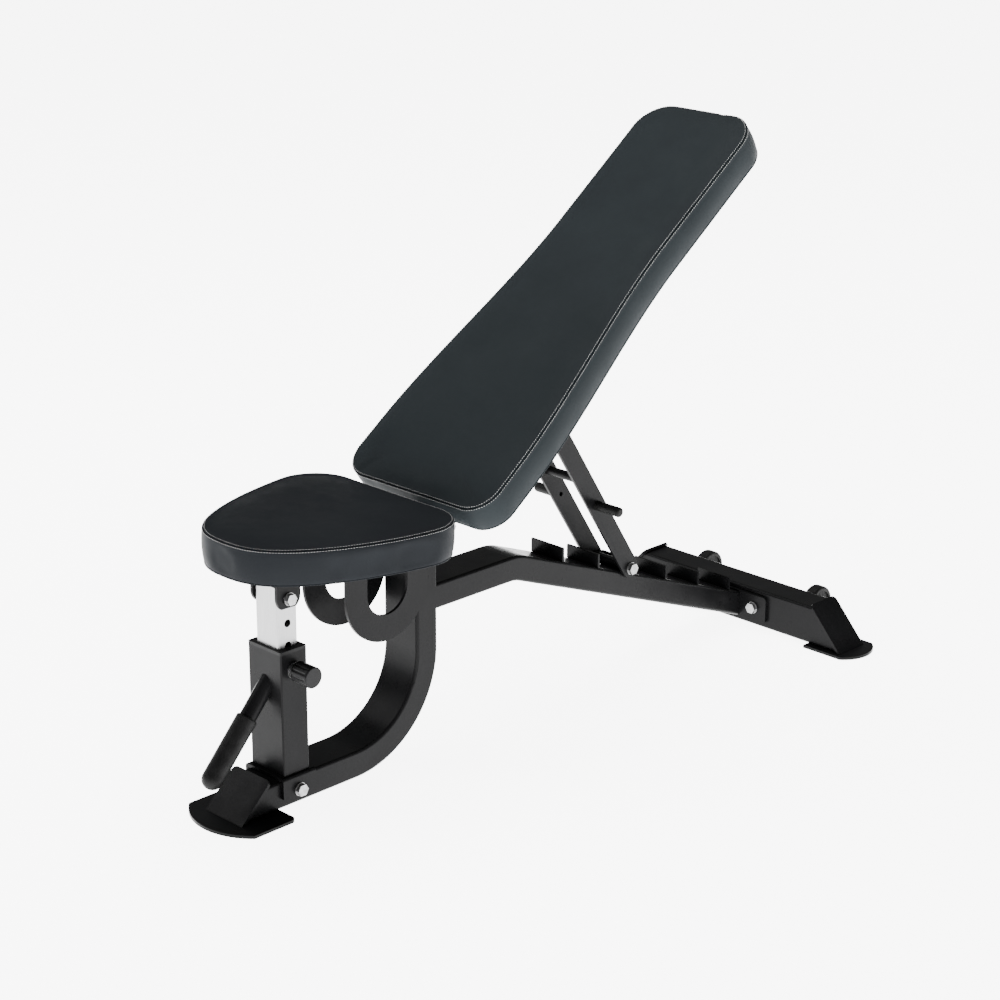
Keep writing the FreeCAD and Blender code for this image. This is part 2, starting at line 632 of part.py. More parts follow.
def back_outline(inset, o):
    """Outline of the backrest pad, o off its top plane."""
    def at(x, s):
        return along(BACK_ORIGIN, B_DIR, B_NORMAL, s, o, x)
    s0, s1 = BACK_S0 + inset, BACK_S1 - inset
    r0, r1 = 48.0 - inset * 0.5, 58.0 - inset * 0.5
    steps = 12
    ss = [s0 + r0 + (s1 - r1 - s0 - r0) * k / steps for k in range(steps + 1)]
    halves = [back_half_width(s) - inset for s in ss]
    w0, w1 = halves[0], halves[-1]
    right = Part.BSplineCurve()
    right.interpolate([at(w, s) for w, s in zip(halves, ss)], InitialTangent=B_DIR,
                      FinalTangent=B_DIR)
    left = Part.BSplineCurve()
    left.interpolate([at(-w, s) for w, s in zip(reversed(halves), reversed(ss))],
                     InitialTangent=B_DIR * -1, FinalTangent=B_DIR * -1)
    k0, k1 = r0 * (1 - 1 / sqrt(2)), r1 * (1 - 1 / sqrt(2))
    top_right = Part.Arc(at(w1, s1 - r1), at(w1 - k1, s1 - k1), at(w1 - r1, s1))
    top = Part.LineSegment(at(w1 - r1, s1), at(-w1 + r1, s1))
    top_left = Part.Arc(at(-w1 + r1, s1), at(-w1 + k1, s1 - k1), at(-w1, s1 - r1))
    low_left = Part.Arc(at(-w0, s0 + r0), at(-w0 + k0, s0 + k0), at(-w0 + r0, s0))
    low = Part.LineSegment(at(-w0 + r0, s0), at(w0 - r0, s0))
    low_right = Part.Arc(at(w0 - r0, s0), at(w0 - k0, s0 + k0), at(w0, s0 + r0))
    curves = [right, top_right, top, top_left, left, low_left, low, low_right]
    return Part.Wire([c.toShape() for c in curves])


def back_offset(point):
    return (point - BACK_ORIGIN).dot(B_NORMAL)


def back_screw(x, s, r, o0, o1):
    start = along(BACK_ORIGIN, B_DIR, B_NORMAL, s, o0, x)
    return Part.makeCylinder(r, o1 - o0, start, B_NORMAL)


def backrest_board_blank():
    return Part.Face(back_outline(16.0, -PAD_T)).extrude(B_NORMAL * 12)


def backrest_board():
    board = backrest_board_blank()
    for x, s in BACK_BOLTS:
        board = board.cut(back_screw(x, s, 4.0 + FIT, -PAD_T - 3, -PAD_T + 20))
    return board


def backrest_pad():
    """Padded board: the hip-end lower edge is well rounded, so that it passes the main tube."""
    wires = [back_outline(inset, h - PAD_T) for h, inset in pad_levels()]
    body = Part.makeLoft(wires, True, True)
    hip = slab(BACK_S0 - 1, BACK_S0 + 14, -PAD_T - 1, -PAD_T + 14, -300, 300)
    centre = along(BACK_ORIGIN, B_DIR, B_NORMAL, BACK_S0 + 14, -PAD_T + 14)
    body = body.cut(hip.cut(rod(-310, 310, centre.y, centre.z, 14.0)))
    return body.cut(backrest_board_blank())


def backrest_rail():
    """Rectangular tube under the pad, welded to the hinge tube at its lower end."""
    rail = slab(HINGE_S, 300.0, RAIL_O0, RAIL_O1, 10.0, 30.0)
    rail = rail.cut(slab(HINGE_S - 1, 298.0, RAIL_O0 + 2, RAIL_O1 - 2, 12.0, 28.0))
    rail = rail.cut(rod(0, 60, HINGE_Y, HINGE_Z, 16.0))
    return rail.cut(rod(0, 60, TOP_Y, TOP_Z, BOLT_R + FIT))


def backrest_hinge_tube():
    return ring(-30.7, 30.7, HINGE_Y, HINGE_Z, 16.0, BOLT_R + FIT)


def backrest_mount_plate():
    """Plate between rails and pad, notched where the strut's bars turn."""
    plate = slab(-205.0, 270.0, RAIL_O1, -PAD_T, -55.0, 55.0)
    notch = slab(-34.0, 16.0, RAIL_O1 - 1, -PAD_T + 1, 36.0, 60.0)
    plate = plate.cut(notch).cut(mirrored(notch))
    for x, s in BACK_BOLTS:
        plate = plate.cut(back_screw(x, s, 4.0 + FIT, RAIL_O1 - 3, -PAD_T + 3))
    return plate


def backrest_pad_bolts():
    bolts = []
    for x, s in BACK_BOLTS:
        shank = back_screw(x, s, 4.0, RAIL_O1 - 4, -PAD_T + 11.5)
        bolts.append(shank.fuse(back_screw(x, s, 7.0, RAIL_O1 - 4.5, RAIL_O1)).removeSplitter())
    return Part.makeCompound(bolts)


# ---- prop strut -------------------------------------------------------------------------------------
S_DIR = (V(0, FOOT_Y, FOOT_Z) - V(0, TOP_Y, TOP_Z)).normalize()
S_SIDE = V(0, -S_DIR.z, S_DIR.y)
STRUT_LENGTH = (V(0, FOOT_Y, FOOT_Z) - V(0, TOP_Y, TOP_Z)).Length
STRUT_X0, STRUT_X1 = 38.5, 43.5
BRACE_AT = 180.7
GRIP_AT = 240.5


def strut_point(t, w=0.0):
    return along(V(0, TOP_Y, TOP_Z), S_DIR, S_SIDE, t, w)


def strut_bar():
    """Flat side bar of the +X side."""
    shoulder = 26.0
    outline = [(0, -14.0), (shoulder, -17.5), (STRUT_LENGTH, -17.5), (STRUT_LENGTH, 17.5),
               (shoulder, 17.5), (0, 14.0)]
    pts = [strut_point(t, w) for t, w in outline]
    bar = prism([(p.y, p.z) for p in pts], STRUT_X0, STRUT_X1)
    bar = bar.multiFuse([rod(STRUT_X0, STRUT_X1, TOP_Y, TOP_Z, 14.0),
                         rod(STRUT_X0, STRUT_X1, FOOT_Y, FOOT_Z, 17.5)]).removeSplitter()
    grip = strut_point(GRIP_AT)
    for p, r in ((strut_point(0), BOLT_R + FIT), (grip, 4.0),
                 (strut_point(STRUT_LENGTH), BOLT_R + FIT)):
        bar = bar.cut(rod(30, 60, p.y, p.z, r))
    return bar


def strut_pivot_bolt():
    """Bolt through both rails, with a collar to hold each side bar clear of its rail."""
    bolt = cross_bolt(STRUT_X1 + 0.3, TOP_Y, TOP_Z)
    collars = [rod(30.0, STRUT_X0 - 0.3, TOP_Y, TOP_Z, 9.0),
               rod(-STRUT_X0 + 0.3, -30.0, TOP_Y, TOP_Z, 9.0)]
    return bolt.multiFuse(collars).removeSplitter()


def strut_brace():
    p = strut_point(BRACE_AT)
    return rod(-STRUT_X0, STRUT_X0, p.y, p.z, 7.5)


def strut_handle():
    """Stub grip of the +X side, for lifting the strut out of its catch."""
    p = strut_point(GRIP_AT)
    stub = rod(STRUT_X1, 94.7, p.y, p.z, 8.3)
    stub = stub.makeFillet(4.0, [e for e in stub.Edges if e.BoundBox.XMin > 90])
    return stub.cut(rod(30.0, 60.0, p.y, p.z, 4.0))


def strut_foot_roller():
    return ring(-STRUT_X0 + 0.3, STRUT_X0 - 0.3, FOOT_Y, FOOT_Z, 9.4, BOLT_R + FIT)


# ---- output -------------------------------------------------------------------------------------------
def side_pair(name, shape):
    """Right-hand piece on +X, its mirror image on -X."""
    return {name + "_right": shape, name + "_left": mirrored(shape)}


def build():
    spine = spine_tube()
    nodes = {"main_tube": main_tube(), "front_cap": front_cap(), "front_foot": front_foot(),
             "spine_tube": spine}
    for k in range(CATCH_COUNT):
        nodes["catch_plate_%d" % (k + 1)] = catch_plate(CATCH_FIRST_Y + k * CATCH_PITCH, spine)
    nodes["spine_flange"] = spine_flange()
    nodes["flange_bolts"] = flange_bolts()
    nodes["stabiliser_tube"] = stabiliser_tube()
    nodes.update(side_pair("stabiliser_cap", stabiliser_cap()))
    nodes.update(side_pair("rear_foot", rear_foot()))
    nodes.update(side_pair("wheel_bracket", wheel_bracket()))
    nodes.update(side_pair("wheel", wheel()))
    nodes["wheel_bolts"] = both(wheel_bolt())
    nodes.update(side_pair("hinge_bracket", hinge_bracket()))
    nodes["hinge_bolt"] = cross_bolt(37.0, HINGE_Y, HINGE_Z)
    nodes["saddle_bracket"] = saddle_bracket()
    nodes["saddle_bolt"] = cross_bolt(44.0, POST_Y, 30.0)
    nodes["post_sleeve"] = post_sleeve()
    nodes["sleeve_bushing"] = sleeve_bushing()
    nodes["handle_tube"] = handle_tube()
    nodes["handle_grip"] = handle_grip()
    nodes["pin_barrel"] = pin_barrel()
    nodes["pull_pin"] = pull_pin()
    nodes["pin_knob"] = pin_knob()
    nodes["seat_post"] = seat_post()
    nodes["ear_bolt"] = cross_bolt(POST_X + 5.6, POST_Y, EAR_Z, BOLT_R, 16.0, 6.0)
    nodes["seat_pivot_bolt"] = cross_bolt(50.3, SEAT_Y, SEAT_Z, BOLT_R, 16.0, 6.0)
    nodes.update(side_pair("seat_rail", seat_rail()))
    nodes["seat_mount_plate"] = seat_mount_plate()
    nodes.update(side_pair("seat_side_plate", seat_side_plate()))
    nodes["seat_board"] = seat_board()
    nodes["seat_pad"] = seat_pad()
    nodes["seat_pad_bolts"] = seat_pad_bolts()
    nodes.update(side_pair("backrest_rail", backrest_rail()))
    nodes["backrest_hinge_tube"] = backrest_hinge_tube()
    nodes["backrest_mount_plate"] = backrest_mount_plate()
    nodes["backrest_board"] = backrest_board()
    nodes["backrest_pad"] = backrest_pad()
    nodes["backrest_pad_bolts"] = backrest_pad_bolts()
    nodes["strut_pivot_bolt"] = strut_pivot_bolt()
    nodes.update(side_pair("strut_bar", strut_bar()))
    nodes["strut_brace"] = strut_brace()
    nodes.update(side_pair("strut_handle", strut_handle()))
    nodes["strut_foot_roller"] = strut_foot_roller()
    nodes["strut_foot_bolt"] = cross_bolt(STRUT_X1, FOOT_Y, FOOT_Z)
    return nodes


os.makedirs("parts", exist_ok=True)
for name, shape in build().items():
    if not shape.isValid() or not shape.Solids:
        raise RuntimeError("bad shape: " + name)
    shape.exportStep("parts/%s.step" % name)
    print("%-24s solids %d  volume %.0f mm3  z %.1f..%.1f" % (
        name, len(shape.Solids), shape.Volume, shape.BoundBox.ZMin, shape.BoundBox.ZMax))
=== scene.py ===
import bpy
import json
import math
from mathutils import Matrix, Vector

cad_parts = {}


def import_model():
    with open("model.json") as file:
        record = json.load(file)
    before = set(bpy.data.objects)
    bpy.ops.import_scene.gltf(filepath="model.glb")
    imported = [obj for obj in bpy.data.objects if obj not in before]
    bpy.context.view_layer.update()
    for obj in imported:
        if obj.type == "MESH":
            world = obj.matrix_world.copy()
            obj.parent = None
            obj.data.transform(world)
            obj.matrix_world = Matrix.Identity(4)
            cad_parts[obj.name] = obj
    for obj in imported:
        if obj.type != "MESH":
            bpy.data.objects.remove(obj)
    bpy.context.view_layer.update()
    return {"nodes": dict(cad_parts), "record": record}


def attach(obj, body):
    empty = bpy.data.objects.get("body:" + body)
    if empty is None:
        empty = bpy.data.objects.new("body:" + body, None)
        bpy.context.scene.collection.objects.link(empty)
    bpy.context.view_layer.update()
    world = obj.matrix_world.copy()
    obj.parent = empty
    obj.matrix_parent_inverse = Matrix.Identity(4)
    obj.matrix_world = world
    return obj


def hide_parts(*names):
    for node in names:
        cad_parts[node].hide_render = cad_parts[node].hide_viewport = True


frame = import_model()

MM = 0.001
FLOOR_GLOW = 7.0         # keeps the ground close to paper white
WORLD_GLOW = 0.35
CAMERA_LENS = 87.42
CAMERA_AT = (2.5751, -2.6348, 1.6238)
CAMERA_AZIMUTH, CAMERA_ELEVATION, CAMERA_ROLL = 44.84, 19.05, 0.14    # degrees
GROUND_HALF = 40.0
BEVEL = 0.9              # width of the softened edges of the painted parts, in millimetres

# ---- pad geometry, in millimetres (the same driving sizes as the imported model) ----------------
PAD_T = 55.5
BACK_ORIGIN = Vector((0.0, -29.1, 584.1))
INCLINE = math.radians(36.68)
BACK_S0, BACK_S1 = -266.0, 573.0
BACK_HALF_LOW, BACK_HALF_TOP = 157.5, 117.5
SEAT_PIVOT = Vector((0.0, -241.5, 360.0))
SEAT_PITCH = math.radians(1.0)
SEAT_Z = 375.0
SEAT_REAR_Y, SEAT_LENGTH, SEAT_HALF = -274.5, 334.0, 173.0
SEAT_CORNER = 70.0
CORNER_STEPS = 14
OUTLINE_STEP = 7.0
SIM_FRAMES = 20
SIM_CAP = 2.5
STITCH_PITCH = 4.2
STITCH_RADIUS = 0.4
STITCH_OFFSET = 3.3


# ---- materials ----------------------------------------------------------------------------------
class Mat:
    """A Principled material with small helpers for procedural detail in object space."""

    def __init__(self, name):
        self.mat = bpy.data.materials.new(name)
        self.mat.use_nodes = True
        self.tree = self.mat.node_tree
        self.bsdf = self.tree.nodes["Principled BSDF"]
        coords = self.tree.nodes.new("ShaderNodeTexCoord")
        self.space = coords.outputs["Object"]

    def new(self, kind, **values):
        node = self.tree.nodes.new(kind)
        for key, value in values.items():
            if hasattr(node, key):
                setattr(node, key, value)
            else:
                node.inputs[key.replace("_", " ")].default_value = value
        return node

    def link(self, a, b):
        self.tree.links.new(a, b)

    def stretched(self, scale):
        node = self.new("ShaderNodeMapping")
        node.inputs["Scale"].default_value = scale
        self.link(self.space, node.inputs["Vector"])
        return node.outputs["Vector"]

    def noise(self, scale, detail=3.0, rough=0.5, space=None, distortion=0.0):
        node = self.new("ShaderNodeTexNoise", Scale=scale, Detail=detail, Roughness=rough,
                        Distortion=distortion)
        self.link(space or self.space, node.inputs["Vector"])
        return node.outputs["Fac"]

    def voronoi(self, scale, feature="F1", space=None):
        node = self.new("ShaderNodeTexVoronoi", feature=feature, Scale=scale)
        self.link(space or self.space, node.inputs["Vector"])
        return node.outputs["Distance"]

    def ramp(self, value, low, high, start=0.3, end=0.7):
        node = self.new("ShaderNodeValToRGB")
        elements = node.color_ramp.elements
        elements[0].position, elements[0].color = start, (*low, 1.0)
        elements[1].position, elements[1].color = end, (*high, 1.0)
        self.link(value, node.inputs["Fac"])
        return node.outputs["Color"]

    def span(self, value, low, high, start=0.3, end=0.7):
        node = self.new("ShaderNodeMapRange")
        node.inputs["From Min"].default_value = start
        node.inputs["From Max"].default_value = end
        node.inputs["To Min"].default_value = low
        node.inputs["To Max"].default_value = high
        self.link(value, node.inputs["Value"])
        return node.outputs["Result"]

    def bump(self, height, strength, distance, after=None):
        node = self.new("ShaderNodeBump", Strength=strength, Distance=distance)
        self.link(height, node.inputs["Height"])
        if after is not None:
            self.link(after, node.inputs["Normal"])
        return node.outputs["Normal"]

    def color(self, socket):
        self.link(socket, self.bsdf.inputs["Base Color"])

    def roughness(self, socket):
        self.link(socket, self.bsdf.inputs["Roughness"])

    def normal(self, socket):
        self.link(socket, self.bsdf.inputs["Normal"])

    def set(self, **values):
        for key, value in values.items():
            self.bsdf.inputs[key.replace("_", " ")].default_value = value


def powder_coat():
    m = Mat("powder_coat_black")
    m.color(m.ramp(m.noise(9.0), (0.0030, 0.0030, 0.0032), (0.0052, 0.0052, 0.0055)))
    m.roughness(m.span(m.noise(38.0, 4.0), 0.26, 0.36))
    peel = m.bump(m.noise(620.0, 2.0), 0.10, 0.0006)
    m.normal(m.bump(m.noise(90.0, 2.0), 0.05, 0.001, peel))
    m.set(Specular_IOR_Level=0.04)
    return m.mat


def silver_post():
    m = Mat("brushed_silver")
    streaks = m.noise(60.0, 5.0, 0.65, m.stretched((14.0, 14.0, 0.5)))
    m.color(m.ramp(streaks, (0.22, 0.22, 0.223), (0.31, 0.31, 0.313)))
    m.roughness(m.span(streaks, 0.26, 0.42))
    m.normal(m.bump(streaks, 0.12, 0.0002))
    m.set(Metallic=0.85)
    return m.mat


def zinc():
    m = Mat("zinc_plated")
    blotch = m.voronoi(160.0)
    m.color(m.ramp(m.noise(120.0, 4.0), (0.18, 0.18, 0.177), (0.27, 0.27, 0.276)))
    m.roughness(m.span(blotch, 0.24, 0.42, 0.0, 0.8))
    m.normal(m.bump(m.noise(700.0, 3.0), 0.12, 0.0002))
    m.set(Metallic=0.95)
    return m.mat


def upholstery(name, low, high):
    """Coated upholstery: fine pebble grain with slow tone changes."""
    m = Mat(name)
    m.color(m.ramp(m.noise(7.0, 3.0), low, high))
    cells = m.voronoi(780.0)
    m.roughness(m.span(m.noise(26.0, 4.0), 0.42, 0.54))
    grain = m.bump(cells, 0.16, 0.0004)
    m.normal(m.bump(m.noise(240.0, 4.0), 0.06, 0.0006, grain))
    m.set(Specular_IOR_Level=0.02)
    return m.mat


def thread():
    m = Mat("thread_pale")
    twist = m.noise(2600.0, 2.0)
    m.color(m.ramp(twist, (0.24, 0.24, 0.235), (0.36, 0.36, 0.35)))
    m.normal(m.bump(twist, 0.3, 0.0002))
    m.roughness(m.span(m.noise(300.0), 0.6, 0.8))
    return m.mat


def plywood():
    """Black-faced plywood with a faint stretched grain."""
    m = Mat("plywood_board")
    grain = m.noise(14.0, 6.0, 0.6, m.stretched((9.0, 0.8, 9.0)), 0.6)
    m.color(m.ramp(grain, (0.0050, 0.0046, 0.0042), (0.0095, 0.0086, 0.0076)))
    m.roughness(m.span(grain, 0.6, 0.8))
    m.normal(m.bump(grain, 0.25, 0.0006))
    m.set(Specular_IOR_Level=0.10)
    return m.mat


def rubber(name, low, high, rough):
    m = Mat(name)
    m.color(m.ramp(m.noise(60.0, 4.0), low, high))
    m.roughness(m.span(m.noise(180.0, 4.0), rough - 0.08, rough + 0.08))
    pores = m.bump(m.noise(1500.0, 3.0), 0.25, 0.0004)
    m.normal(m.bump(m.voronoi(520.0), 0.10, 0.0005, pores))
    m.set(Specular_IOR_Level=0.05)
    return m.mat


def plastic():
    m = Mat("moulded_plastic")
    m.color(m.ramp(m.noise(40.0), (0.005, 0.005, 0.0053), (0.009, 0.009, 0.0094)))
    m.roughness(m.span(m.noise(220.0, 3.0), 0.30, 0.42))
    m.normal(m.bump(m.noise(900.0, 2.0), 0.10, 0.0004))
    m.set(Specular_IOR_Level=0.06)
    return m.mat


def floor_material():
    m = Mat("studio_floor")
    m.color(m.ramp(m.noise(0.8, 2.0), (0.93, 0.93, 0.93), (0.95, 0.95, 0.95)))
    m.roughness(m.span(m.noise(3.0), 0.75, 0.85))
    m.set(Emission_Color=(1.0, 1.0, 1.0, 1.0), Emission_Strength=FLOOR_GLOW)
    return m.mat


SLOT_MATERIALS = {
    "powder_coat": powder_coat(),
    "silver_post": silver_post(),
    "zinc_fastener": zinc(),
    "upholstery": upholstery("upholstery_cad", (0.009, 0.011, 0.0125), (0.012, 0.0145, 0.0165)),
    "plywood": plywood(),
    "wheel_rubber": rubber("wheel_rubber", (0.005, 0.005, 0.005), (0.010, 0.010, 0.010), 0.5),
    "grip_rubber": rubber("grip_rubber", (0.004, 0.004, 0.004), (0.008, 0.008, 0.008), 0.45),
    "black_plastic": plastic(),
}
# Backrest copy of the upholstery, painted lighter and bluer than the seat copy: a painted sheen for
# the light the tilted backrest catches.
BACK_COVER_PAINTED_SHEEN = upholstery("upholstery_backrest_painted_sheen", (0.0118, 0.0145, 0.0160), (0.0145, 0.0176, 0.0193))
# Seat copy of the same upholstery, painted darker: painted shade for the seat's shaded sides and top.
SEAT_COVER_PAINTED_SHADE = upholstery("upholstery_seat_painted_shade", (0.0078, 0.0088, 0.0102), (0.0100, 0.0112, 0.0128))
THREAD = thread()

for part in frame["record"]["subparts"]:
    node = frame["nodes"][part["node"]]
    node.data.materials.clear()
    node.data.materials.append(SLOT_MATERIALS[part["material_slot"]])
    if part["material_slot"] == "powder_coat":
        soften = node.modifiers.new("soft_edges", "BEVEL")
        soften.width = BEVEL * MM
        soften.segments = 2
        soften.limit_method = "ANGLE"
        soften.angle_limit = math.radians(35.0)


# ---- pads -----------------------------------------------------------------------------------------
def smooth_step(t):
    t = min(max(t, 0.0), 1.0)
    return t * t * (3.0 - 2.0 * t)


def corner(cx, cy, r, start, end):
    pts = []
    for k in range(CORNER_STEPS + 1):
        a = start + (end - start) * k / CORNER_STEPS
        pts.append((cx + r * math.cos(a), cy + r * math.sin(a)))
    return pts


def back_side():
    """Right half outline of the backrest, from the hip end to the head end: (x, s)."""
    def half(s):
        t = smooth_step((s + 170.0) / 462.0)
        return BACK_HALF_LOW + (BACK_HALF_TOP - BACK_HALF_LOW) * t
    r0, r1 = 48.0, 58.0
    w0, w1 = half(BACK_S0 + r0), half(BACK_S1 - r1)
    pts = [(0.0, BACK_S0)]
    pts += corner(w0 - r0, BACK_S0 + r0, r0, -math.pi / 2, 0.0)
    for k in range(1, 60):
        s = BACK_S0 + r0 + (BACK_S1 - r1 - BACK_S0 - r0) * k / 60
        pts.append((half(s), s))
    pts += corner(w1 - r1, BACK_S1 - r1, r1, 0.0, math.pi / 2)
    return pts + [(0.0, BACK_S1)]


def seat_side():
    """Right half outline of the seat, from the rear edge to the nose: (x, distance from rear)."""
    r = SEAT_CORNER
    pts = [(0.0, 0.0)]
    pts += corner(SEAT_HALF - r, r, r, -math.pi / 2, 0.0)
    for k in range(1, 60):
        a = math.pi / 2 * k / 60
        pts.append((SEAT_HALF * math.cos(a) ** 0.769,
                    r + (SEAT_LENGTH - r) * math.sin(a) ** 1.481))
    return pts + [(0.0, SEAT_LENGTH)]


def resample(pts, step):
    """Evenly spaced points, half a step in from both ends, so that a mirror image matches."""
    lengths = [0.0]
    for a, b in zip(pts, pts[1:]):
        lengths.append(lengths[-1] + math.hypot(b[0] - a[0], b[1] - a[1]))
    count = max(8, round(lengths[-1] / step))
    out, i = [], 0
    for k in range(count):
        want = lengths[-1] * (k + 0.5) / count
        while lengths[i + 1] < want:
            i += 1
        f = (want - lengths[i]) / (lengths[i + 1] - lengths[i])
        out.append((pts[i][0] + (pts[i + 1][0] - pts[i][0]) * f,
                    pts[i][1] + (pts[i + 1][1] - pts[i][1]) * f))
    return out


def loop_of(side):
    return side + [(-x, s) for x, s in reversed(side)]


def outward(loop):
    """Outward unit normals of a closed loop in its plane."""
    out = []
    n = len(loop)
    for j in range(n):
        ax, ay = loop[j - 1]
        bx, by = loop[(j + 1) % n]
        length = math.hypot(bx - ax, by - ay)
        out.append(((by - ay) / length, -(bx - ax) / length))
    return out


# Rings of a pad, from the middle of the underside over the edge to the middle of the top:
# (share of the way to the middle line, inset in mm, height in mm above the back plane).
UNDER = [(0.94, 8.0, 0.0), (0.70, 8.0, 0.0), (0.40, 8.0, 0.0), (0.16, 8.0, 0.0), (0.0, 9.0, 0.0)]
SIDE = [(0.0, 4.0, 0.6), (0.0, 1.4, 4.5), (0.0, 0.0, 12.0), (0.0, -1.0, 21.0),
        (0.0, -1.4, 30.0), (0.0, -1.2, 39.0), (0.0, -0.6, 47.5)]
SEAM = [(0.0, 0.6, 54.6)]
TOP = [(0.0, 7.5, 57.2), (0.05, 12.0, 58.2), (0.13, 12.0, 59.3), (0.24, 12.0, 60.1),
       (0.36, 12.0, 60.7), (0.50, 12.0, 61.1), (0.64, 12.0, 61.3), (0.79, 12.0, 61.4),
       (0.94, 12.0, 61.5)]
RINGS = UNDER + SIDE + SEAM + TOP
SEAM_RING = len(UNDER) + len(SIDE)
PINNED_RINGS = len(UNDER) + 1


def ring_points(loop, normals, middle, place):
    rings = []
    for share, inset, height in RINGS:
        row = []
        for (x, y), (nx, ny) in zip(loop, normals):
            mx, my = middle(x, y)
            px, py = x - nx * inset, y - ny * inset
            row.append(place(px + (mx - px) * share, py + (my - py) * share, height))
        rings.append(row)
    return rings


def skin(name, rings):
    """Closed quad mesh through the rings, the two ends closed across the middle line."""
    n = len(rings[0])
    verts = [p for row in rings for p in row]
    faces = []
    for r in range(len(rings) - 1):
        for j in range(n):
            k = (j + 1) % n
            faces.append((r * n + j, r * n + k, (r + 1) * n + k, (r + 1) * n + j))
    last = (len(rings) - 1) * n
    for j in range(n // 2 - 1):
        faces.append((n - 1 - j, n - 2 - j, j + 1, j))
        faces.append((last + j, last + j + 1, last + n - 2 - j, last + n - 1 - j))
    mesh = bpy.data.meshes.new(name)
    mesh.from_pydata([p * MM for p in verts], [], faces)
    mesh.validate()
    obj = bpy.data.objects.new(name, mesh)
    bpy.context.scene.collection.objects.link(obj)
    return obj


def inflate(obj, rings):
    """Cloth under slight pressure over the fixed underside; no point moves beyond SIM_CAP."""
    n = len(rings[0])
    group = obj.vertex_groups.new(name="board")
    group.add(list(range(PINNED_RINGS * n)), 1.0, "REPLACE")
    seam = list(range(SEAM_RING * n, (SEAM_RING + 1) * n))
    group.add(seam, 0.35, "REPLACE")
    cloth = obj.modifiers.new("inflate", "CLOTH")
    cloth.settings.quality = 6
    cloth.settings.mass = 0.3
    cloth.settings.tension_stiffness = 25.0
    cloth.settings.compression_stiffness = 25.0
    cloth.settings.bending_stiffness = 2.0
    cloth.settings.use_pressure = True
    cloth.settings.uniform_pressure_force = 3.0
    cloth.settings.vertex_group_mass = "board"
    cloth.settings.effector_weights.gravity = 0.0
    cloth.collision_settings.use_collision = False
    cloth.point_cache.frame_start = 1
    cloth.point_cache.frame_end = SIM_FRAMES
    scene = bpy.context.scene
    for number in range(1, SIM_FRAMES + 1):
        scene.frame_set(number)
    moved = obj.evaluated_get(bpy.context.evaluated_depsgraph_get()).to_mesh()
    flat = [p for row in rings for p in row]
    out = []
    for p, v in zip(flat, moved.vertices):
        shift = v.co / MM - p
        if shift.length > SIM_CAP:
            shift *= SIM_CAP / shift.length
        out.append(p + shift)
    obj.evaluated_get(bpy.context.evaluated_depsgraph_get()).to_mesh_clear()
    obj.modifiers.clear()
    scene.frame_set(1)
    return [out[r * n:(r + 1) * n] for r in range(len(rings))]


def catmull(a, b, c, d, t):
    return 0.5 * ((2.0 * b) + (c - a) * t + (2.0 * a - 5.0 * b + 4.0 * c - d) * t * t
                  + (3.0 * b - a - 3.0 * c + d) * t * t * t)


def refine(rings):
    """Adds rings near the seam and the hem, then presses the seam groove."""
    extra = {SEAM_RING - 2: (0.5,), SEAM_RING - 1: (0.35, 0.6, 0.75, 0.86, 0.93, 0.975),
             SEAM_RING: (0.025, 0.07, 0.14, 0.25, 0.4, 0.65),
             len(UNDER) - 1: (0.35, 0.7), len(UNDER): (0.3, 0.6)}
    n = len(rings[0])
    fine, depth = [], []
    last = len(rings) - 1
    for r in range(last + 1):
        fine.append(rings[r])
        depth.append(1.0 if r == SEAM_RING else 0.0)
        if r == last:
            break
        for t in extra.get(r, ()):
            row = []
            for j in range(n):
                a = rings[max(r - 1, 0)][j]
                d = rings[min(r + 2, last)][j]
                row.append(catmull(a, rings[r][j], rings[r + 1][j], d, t))
            fine.append(row)
            depth.append(0.0)
    seam = depth.index(1.0)
    result = []
    for r, row in enumerate(fine):
        out = []
        for j, p in enumerate(row):
            away = (p - fine[seam][j]).length
            if away < 7.0:
                inward = (fine[seam - 3][j] + fine[seam + 3][j]) * 0.5 - fine[seam][j]
                inward.normalize()
                press = 1.9 * math.exp(-(away / 0.9) ** 2) - 0.55 * math.exp(
                    -((away - 2.6) / 1.3) ** 2)
                p = p + inward * press
            out.append(p)
        result.append(out)
    return result, seam


def capsule(start, end, radius, normal, verts, faces):
    """A short thread lying between two points, sunk a little at its ends."""
    axis = (end - start).normalized()
    side = axis.cross(normal).normalized()
    up = side.cross(axis).normalized()
    stations = ((0.0, 0.35, -0.35), (0.16, 0.9, 0.05), (0.5, 1.0, 0.30), (0.84, 0.9, 0.05),
                (1.0, 0.35, -0.35))
    base = len(verts)
    around = 6
    for t, r, lift in stations:
        centre = start + (end - start) * t + up * lift * radius
        for k in range(around):
            a = 2.0 * math.pi * k / around
            verts.append(centre + (side * math.cos(a) + up * math.sin(a)) * radius * r)
    for s in range(len(stations) - 1):
        for k in range(around):
            q = (k + 1) % around
            faces.append((base + s * around + k, base + s * around + q,
                          base + (s + 1) * around + q, base + (s + 1) * around + k))
    faces.append(tuple(base + k for k in reversed(range(around))))
    faces.append(tuple(base + (len(stations) - 1) * around + k for k in range(around)))


